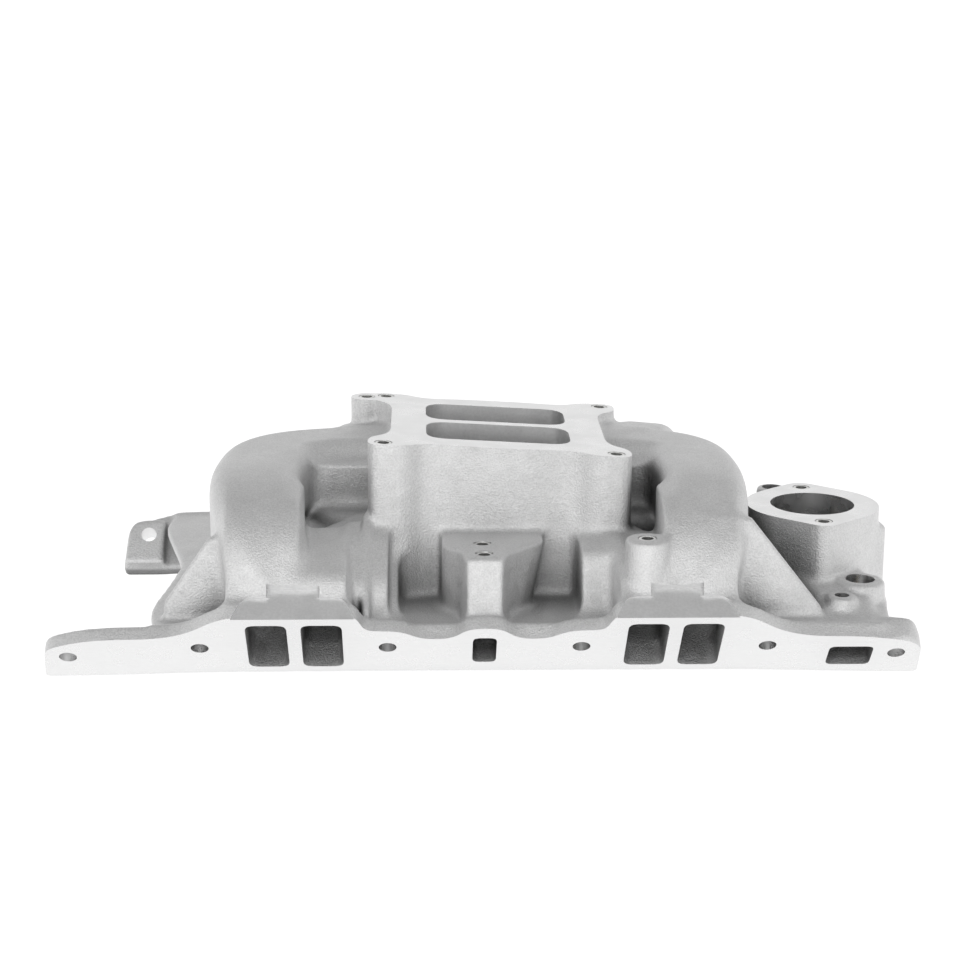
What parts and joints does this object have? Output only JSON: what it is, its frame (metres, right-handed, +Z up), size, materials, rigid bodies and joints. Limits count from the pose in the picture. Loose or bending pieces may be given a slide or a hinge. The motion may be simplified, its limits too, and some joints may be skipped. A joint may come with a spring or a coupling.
{
  "type": "intake manifold",
  "caption": "Cast V-engine intake manifold: port flanges, carburettor pad over plenum slots, arched runners, heat crossover, thermostat neck, plugs and splash shield.",
  "frame": {"origin": "on the ground plane that the flange feet touch, under the middle of the manifold", "axes": "+X along the crankshaft to the front of the engine, +Z up, -Y to the near bank"},
  "size_m": [0.5504, 0.2964, 0.1361],
  "materials": {
    "cast_aluminium": "sand-cast, with milled and drilled faces",
    "insert_steel": "turned, thin zinc plating",
    "plug_steel": "turned",
    "rivet_steel": "cold headed, zinc plated",
    "zinc_plated_sheet": "rolled sheet, pressed, zinc plated",
    "plug_brass": "drawn cup"
  },
  "bodies": {
    "root": {"accessory_boss_insert": "insert_steel", "bracket_boss_insert": "insert_steel", "breather_port_plug": "plug_steel", "carb_stud_insert_far_front": "insert_steel", "carb_stud_insert_far_rear": "insert_steel", "carb_stud_insert_near_front": "insert_steel", "carb_stud_insert_near_rear": "insert_steel", "choke_pad_insert_inner": "insert_steel", "choke_pad_insert_outer": "insert_steel", "manifold_casting": "cast_aluminium", "oil_splash_shield": "zinc_plated_sheet", "shield_rivet_far_front": "rivet_steel", "shield_rivet_far_rear": "rivet_steel", "shield_rivet_near_front": "rivet_steel", "shield_rivet_near_rear": "rivet_steel", "thermostat_insert_far": "insert_steel", "thermostat_insert_near": "insert_steel", "vacuum_port_plug": "plug_steel", "water_core_plug_far": "plug_brass", "water_core_plug_near": "plug_brass"}
  },
  "joints": []
}
